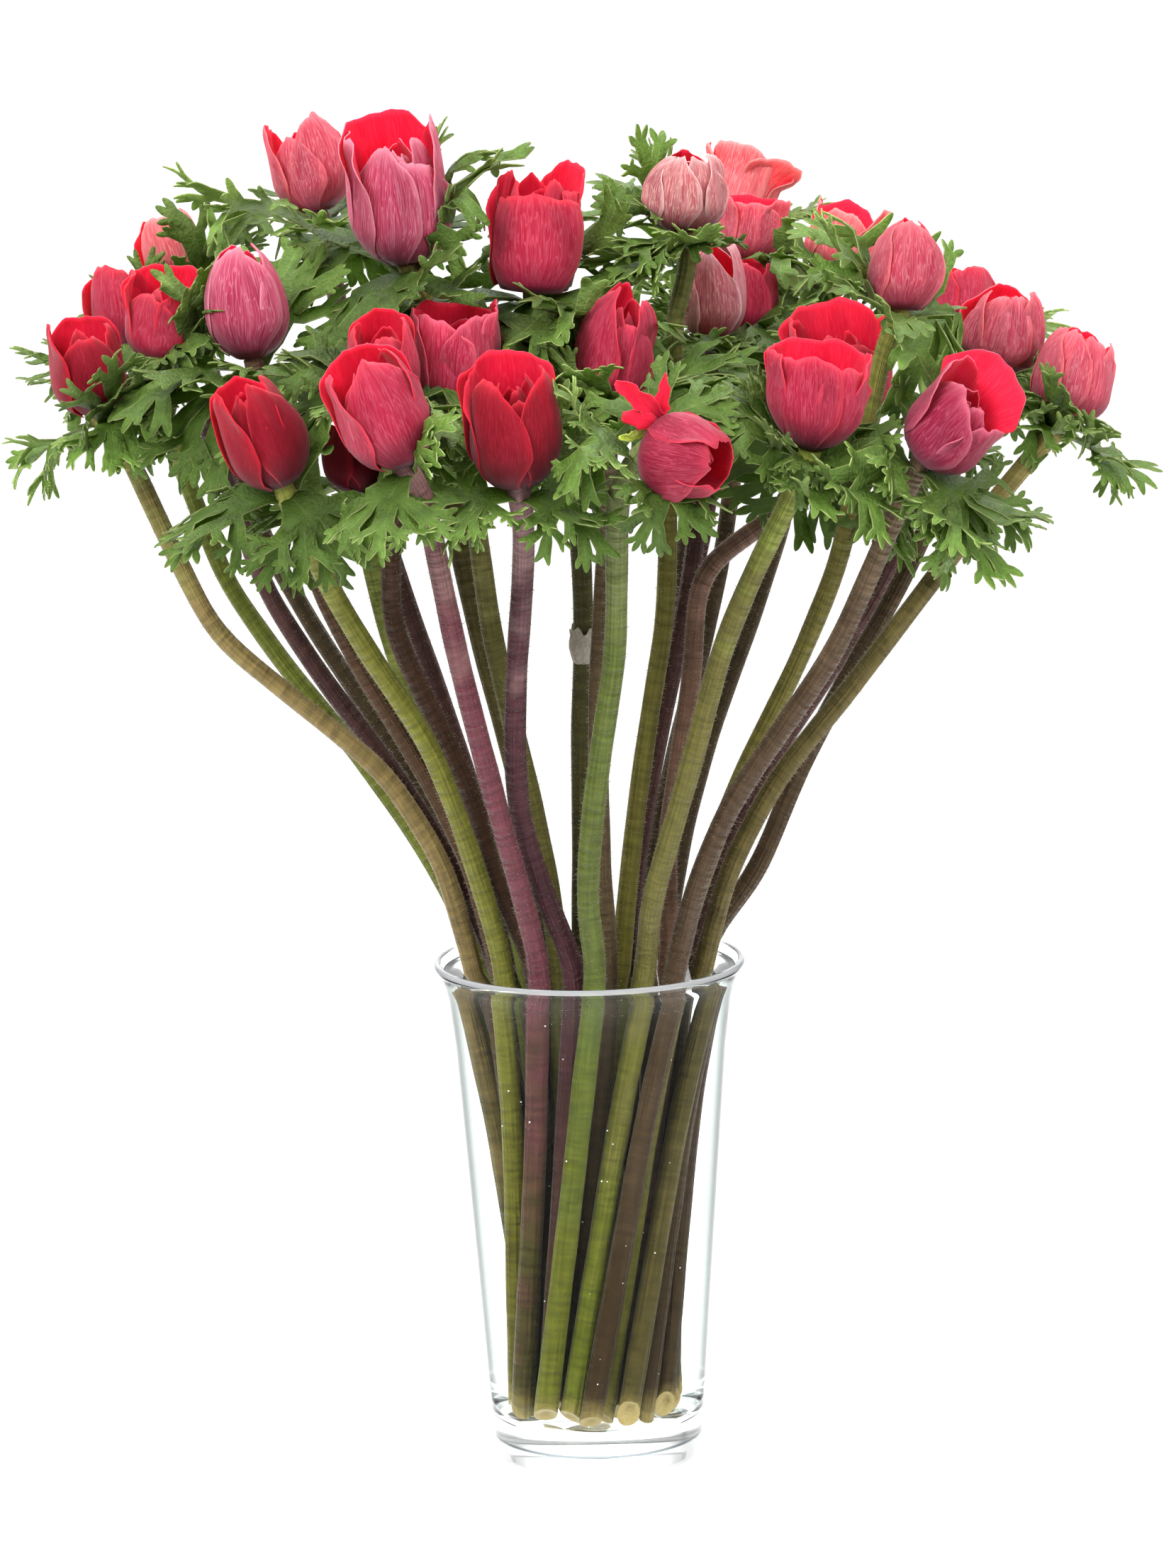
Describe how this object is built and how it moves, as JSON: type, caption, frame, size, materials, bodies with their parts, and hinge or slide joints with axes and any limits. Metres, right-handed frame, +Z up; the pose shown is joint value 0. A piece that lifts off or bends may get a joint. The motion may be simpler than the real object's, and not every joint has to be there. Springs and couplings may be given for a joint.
{
  "type": "bouquet of anemone flowers in a glass vase",
  "caption": "Bouquet of red anemones in bud, with ruffs of cut leaves on bending stems, standing in a flared clear glass vase of water.",
  "frame": {"origin": "centre of the vase's foot, on the surface that it stands on", "axes": "+Z up along the vase's axis, -Y towards the front of the bouquet as pictured, +X to its right"},
  "size_m": [0.3727, 0.3275, 0.476],
  "materials": {
    "clear_glass": "clear, polished",
    "clear_water": "clear, still water",
    "stem_lime": "matte, finely hairy plant skin",
    "stem_olive": "matte, finely hairy plant skin",
    "stem_umber": "matte, finely hairy plant skin",
    "stem_plum": "matte, finely hairy plant skin",
    "petal_scarlet": "satin petal with fine veins",
    "petal_crimson": "satin petal with fine veins",
    "petal_coral": "satin petal with fine veins",
    "petal_mauve": "satin petal with fine veins",
    "petal_wine": "satin petal with fine veins"
  },
  "bodies": {
    "root": {"vase": "clear_glass", "water": "clear_water", "leafy_stem_01": "stem_olive", "bloom_01": "petal_scarlet", "leafy_stem_02": "stem_lime", "bloom_02": "petal_scarlet", "leafy_stem_03": "stem_plum", "bloom_03": "petal_scarlet", "leafy_stem_04": "stem_umber", "bloom_04": "petal_mauve", "leafy_stem_05": "stem_umber", "bloom_05": "petal_coral", "leafy_stem_06": "stem_plum", "bloom_06": "petal_coral", "leafy_stem_07": "stem_umber", "bloom_07": "petal_crimson", "leafy_stem_08": "stem_olive", "bloom_08": "petal_scarlet", "leafy_stem_09": "stem_olive", "bloom_09": "petal_mauve", "leafy_stem_10": "stem_umber", "bloom_10": "petal_coral", "leafy_stem_11": "stem_plum", "bloom_11": "petal_coral", "leafy_stem_12": "stem_umber", "bloom_12": "petal_coral", "leafy_stem_13": "stem_lime", "bloom_13": "petal_coral", "leafy_stem_14": "stem_plum", "bloom_14": "petal_scarlet", "leafy_stem_15": "stem_umber", "bloom_15": "petal_coral", "leafy_stem_16": "stem_olive", "bloom_16": "petal_coral", "leafy_stem_17": "stem_umber", "bloom_17": "petal_wine", "leafy_stem_18": "stem_plum", "bloom_18": "petal_scarlet", "leafy_stem_19": "stem_lime", "bloom_19": "petal_crimson", "leafy_stem_20": "stem_plum", "bloom_20": "petal_mauve", "leafy_stem_21": "stem_umber", "bloom_21": "petal_crimson", "leafy_stem_22": "stem_umber", "bloom_22": "petal_crimson", "leafy_stem_23": "stem_lime", "bloom_23": "petal_crimson", "leafy_stem_24": "stem_plum", "bloom_24": "petal_scarlet", "leafy_stem_25": "stem_olive", "bloom_25": "petal_wine", "leafy_stem_26": "stem_umber", "bloom_26": "petal_scarlet", "leafy_stem_27": "stem_plum", "bloom_27": "petal_crimson", "leafy_stem_28": "stem_lime", "bloom_28": "petal_crimson", "leafy_stem_29": "stem_lime", "bloom_29": "petal_wine"}
  },
  "joints": []
}
